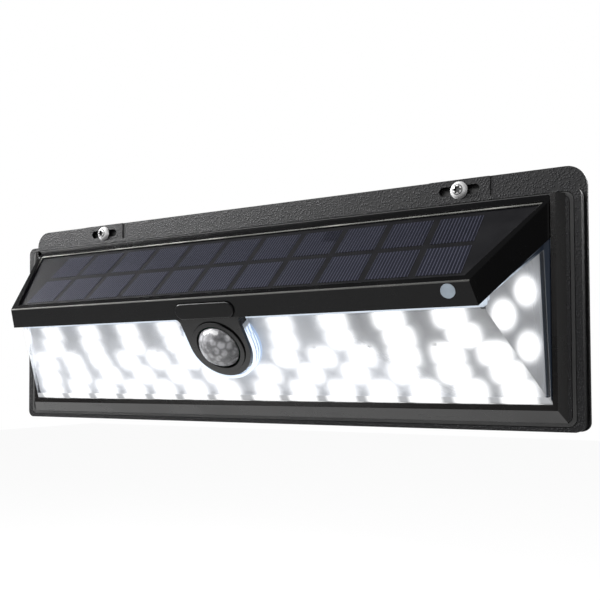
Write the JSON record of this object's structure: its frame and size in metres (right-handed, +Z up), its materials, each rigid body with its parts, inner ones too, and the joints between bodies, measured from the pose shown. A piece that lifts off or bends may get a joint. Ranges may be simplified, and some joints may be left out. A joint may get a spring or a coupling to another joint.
{
  "type": "solar flood light",
  "caption": "Wall-mounted solar flood light: wedge housing with sloping solar hood, lit LED field behind a clear lens, PIR sensor dome, push button and slotted wall tab.",
  "frame": {"origin": "centre of the flat back face, on the wall plane", "axes": "+Y into the wall, +Z up, +X to the right for someone facing the light; the light stands out towards -Y"},
  "size_m": [0.345, 0.0848, 0.1186],
  "materials": {
    "housing_black": "sand-textured black ABS",
    "seal_grey": "silicone rubber",
    "frame_black": "smooth black ABS",
    "hood_black": "glossy black ABS",
    "clear_lens": "clear polycarbonate",
    "seal_white": "translucent silicone rubber",
    "panel_glass": "clear laminate over the cells",
    "silicon": "blue-black silicon with silver grid lines",
    "backsheet_black": "black glass-fibre board",
    "foam_tape": "foam tape",
    "wire_red_black": "PVC insulated wire",
    "board_white": "white solder mask",
    "led_lit": "lit white emitter",
    "chip_black": "moulded epoxy",
    "carrier_white": "white ABS",
    "dome_milk": "milky polyethylene with lens facets",
    "can_metal": "nickel-plated can",
    "filter_dark": "dark infrared filter",
    "board_green": "green solder mask",
    "button_black": "smooth black push button",
    "plunger_amber": "nylon",
    "wire_white": "PVC insulated wire",
    "window_clear": "frosted clear plastic",
    "photocell_resin": "tinted epoxy",
    "inductor_grey": "ferrite",
    "capacitor_blue": "sleeved can",
    "socket_cream": "nylon",
    "screw_zinc": "zinc-plated steel",
    "battery_wrap": "heat-shrink sleeve",
    "nickel": "nickel strip",
    "cradle_black": "black ABS",
    "strap_white": "nylon strap",
    "screw_steel": "bright plated steel",
    "seal_black": "black rubber"
  },
  "bodies": {
    "housing": {"rear_housing": "housing_black", "housing_gasket": "seal_grey", "front_frame": "frame_black", "solar_hood": "hood_black", "lens_cover": "clear_lens", "lens_gasket": "seal_white", "solar_glass": "panel_glass", "solar_cells": "silicon", "solar_backsheet": "backsheet_black", "panel_tape": "foam_tape", "panel_leads": "wire_red_black", "led_board_front": "board_white", "led_board_left": "board_white", "led_board_right": "board_white", "leds_front": "led_lit", "leds_left": "led_lit", "leds_right": "led_lit", "led_resistors": "chip_black", "led_carrier": "carrier_white", "led_leads": "wire_red_black", "pir_dome": "dome_milk", "pir_ring": "hood_black", "pir_sensor": "can_metal", "pir_window": "filter_dark", "pir_board": "board_green", "pir_leads": "wire_red_black", "button_seal": "seal_grey", "switch_board": "board_green", "switch_body": "chip_black", "switch_leads": "wire_white", "sensor_window": "window_clear", "photocell": "photocell_resin", "photocell_board": "board_green", "photocell_leads": "wire_white", "main_board": "board_green", "board_chips": "chip_black", "board_inductor": "inductor_grey", "board_capacitors": "capacitor_blue", "board_sockets": "socket_cream", "board_screws": "screw_zinc", "battery_cells": "battery_wrap", "battery_caps": "nickel", "battery_cradle": "cradle_black", "battery_straps": "strap_white", "battery_leads": "wire_red_black", "case_screws": "screw_zinc"},
    "mode_button": {"mode_button": "button_black"},
    "switch_plunger": {"switch_plunger": "plunger_amber"},
    "wall_screws": {"wall_screws": "screw_steel", "slot_washers": "seal_black"}
  },
  "joints": [
    {"name": "mode_button_press", "type": "slide", "parent": "housing", "child": "mode_button", "axis": [0, 0.9142, 0.4053], "range_m": [0, 0.0008], "stiffness_N_per_m": 2500, "springref_m": -0.0002},
    {"name": "switch_plunger_press", "type": "slide", "parent": "housing", "child": "switch_plunger", "axis": [0, 0.9142, 0.4053], "range_m": [0, 0.0008]},
    {"name": "wall_screw_slot", "type": "slide", "parent": "housing", "child": "wall_screws", "axis": [1, 0, 0], "range_m": [-0.006, 0.006]}
  ],
  "couplings": [
    {"joint": "switch_plunger_press", "follows": "mode_button_press", "ratio": 1}
  ]
}
